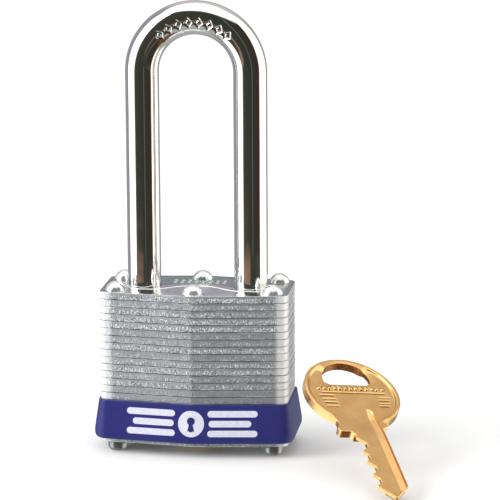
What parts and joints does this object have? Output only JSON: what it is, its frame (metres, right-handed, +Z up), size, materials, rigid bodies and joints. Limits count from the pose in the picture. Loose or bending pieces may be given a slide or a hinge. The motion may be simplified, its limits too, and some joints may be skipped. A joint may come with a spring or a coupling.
{
  "type": "padlock",
  "caption": "Laminated steel padlock with a long chromed shackle, blue moulded bumper, pin cylinder, locking levers and a loose brass key.",
  "frame": {"origin": "on the plug's axis, in the plane that the four rivet feet stand on", "axes": "+X across the case towards the toe leg, +Y to the case's back, +Z up the shackle"},
  "size_m": [0.0691, 0.052, 0.0953],
  "materials": {
    "plate_steel": "zinc-plated, sheared edges",
    "rivet_steel": "polished domes",
    "shackle_chrome": "bright chrome plate",
    "bumper_plastic": "moulded, semi-gloss",
    "cylinder_brass": "machined",
    "spring_wire": "drawn wire",
    "key_brass": "stamped and milled"
  },
  "bodies": {
    "case": {"base_plate": "plate_steel", "cylinder_plate_1": "plate_steel", "cylinder_plate_2": "plate_steel", "cylinder_plate_3": "plate_steel", "cylinder_plate_4": "plate_steel", "cylinder_plate_5": "plate_steel", "cylinder_plate_6": "plate_steel", "cylinder_plate_7": "plate_steel", "cylinder_plate_8": "plate_steel", "cylinder_plate_9": "plate_steel", "cylinder_plate_10": "plate_steel", "cylinder_plate_11": "plate_steel", "cylinder_plate_12": "plate_steel", "cylinder_plate_13": "plate_steel", "cylinder_plate_14": "plate_steel", "cam_plate_1": "plate_steel", "cam_plate_2": "plate_steel", "lever_plate_1": "plate_steel", "lever_plate_2": "plate_steel", "upper_plate": "plate_steel", "top_plate": "plate_steel", "case_rivets": "rivet_steel", "bumper": "bumper_plastic", "cylinder_shell": "cylinder_brass", "chamber_cover": "cylinder_brass", "driver_pins": "cylinder_brass", "pin_springs": "spring_wire", "lever_springs": "spring_wire", "keeper_pin": "plate_steel", "shackle_spring": "spring_wire"},
    "plug": {"plug": "cylinder_brass", "plug_clip": "spring_wire", "lever_cam": "cylinder_brass", "key_pin_1": "cylinder_brass", "key_pin_2": "cylinder_brass", "key_pin_3": "cylinder_brass", "key_pin_4": "cylinder_brass"},
    "heel_lever": {"heel_lever": "plate_steel"},
    "toe_lever": {"toe_lever": "plate_steel"},
    "shackle": {"shackle": "shackle_chrome"},
    "key": {"key": "key_brass"}
  },
  "joints": [
    {"name": "shackle_lift", "type": "slide", "parent": "case", "child": "shackle", "axis": [0, 0, 1], "range_m": [0, 0.0115], "deforming": ["shackle_spring"]},
    {"name": "plug_turn", "type": "hinge", "parent": "case", "child": "plug", "pos_m": [0, 0, 0.0136], "axis": [0, 0, 1], "range_deg": [-90, 0]},
    {"name": "heel_lever_slide", "type": "slide", "parent": "case", "child": "heel_lever", "axis": [-1, 0, 0], "range_m": [0, 0.0018], "deforming": ["lever_springs"]},
    {"name": "toe_lever_slide", "type": "slide", "parent": "case", "child": "toe_lever", "axis": [1, 0, 0], "range_m": [0, 0.0018]},
    {"name": "key_lift", "type": "slide", "parent": "case", "child": "key", "axis": [0, 0, 1], "range_m": [0, 0.06]}
  ],
  "couplings": [
    {"joint": "heel_lever_slide", "follows": "plug_turn", "m_per_rad": -0.001145},
    {"joint": "toe_lever_slide", "follows": "plug_turn", "m_per_rad": -0.001145}
  ]
}
